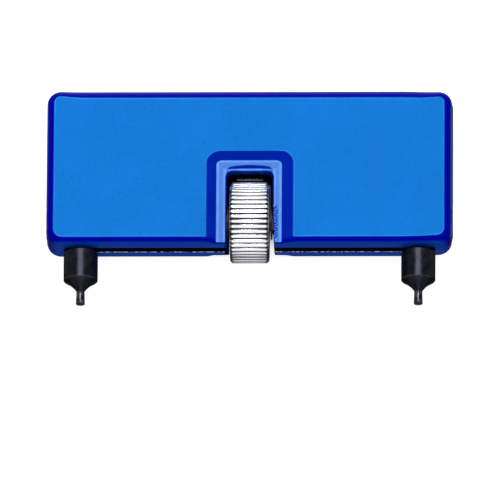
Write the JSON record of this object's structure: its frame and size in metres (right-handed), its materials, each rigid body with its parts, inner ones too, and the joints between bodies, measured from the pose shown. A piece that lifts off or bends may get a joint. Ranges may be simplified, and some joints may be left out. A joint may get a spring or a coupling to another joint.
{
  "type": "case back opener",
  "caption": "Blue die-cast watch case back opener: a thumbwheel on a left and right hand lead screw moves two pin jaws along a slot.",
  "frame": {"origin": "bottom centre of the box round the tool, lying on its back with the jaws fully open", "axes": "+X to the right along the body, +Y away from the jaws, +Z out of the front face"},
  "size_m": [0.0814, 0.0446, 0.0162],
  "materials": {
    "blue_paint": "gloss blue paint over a die casting",
    "nickel_plate": "bright nickel plate",
    "black_oxide_steel": "turned steel, black oxide",
    "plain_steel": "turned, lightly oiled",
    "bronze": "turned",
    "dark_steel": "blackened, lightly oiled"
  },
  "bodies": {
    "body": {"body_casting": "blue_paint", "left_end_plug": "blue_paint", "right_end_plug": "blue_paint", "left_end_bush": "bronze", "right_end_bush": "bronze", "left_thrust_washer": "dark_steel", "right_thrust_washer": "dark_steel"},
    "thumbwheel": {"thumbwheel": "nickel_plate", "left_wheel_set_screw": "dark_steel", "right_wheel_set_screw": "dark_steel", "left_lead_screw": "plain_steel", "right_lead_screw": "plain_steel"},
    "left_jaw": {"left_slide_nut": "plain_steel", "left_jaw_pin": "black_oxide_steel"},
    "right_jaw": {"right_slide_nut": "plain_steel", "right_jaw_pin": "black_oxide_steel"}
  },
  "joints": [
    {"name": "thumbwheel_spin", "type": "hinge", "parent": "body", "child": "thumbwheel", "pos_m": [0, -0.00485, 0.0081], "axis": [1, 0, 0], "range_deg": [0, 14880]},
    {"name": "left_jaw_slide", "type": "slide", "parent": "body", "child": "left_jaw", "axis": [1, 0, 0], "range_m": [0, 0.02475]},
    {"name": "right_jaw_slide", "type": "slide", "parent": "body", "child": "right_jaw", "axis": [-1, 0, 0], "range_m": [0, 0.0248]}
  ],
  "couplings": [
    {"joint": "thumbwheel_spin", "follows": "left_jaw_slide", "rad_per_m": 10472},
    {"joint": "right_jaw_slide", "follows": "left_jaw_slide", "ratio": 1}
  ]
}
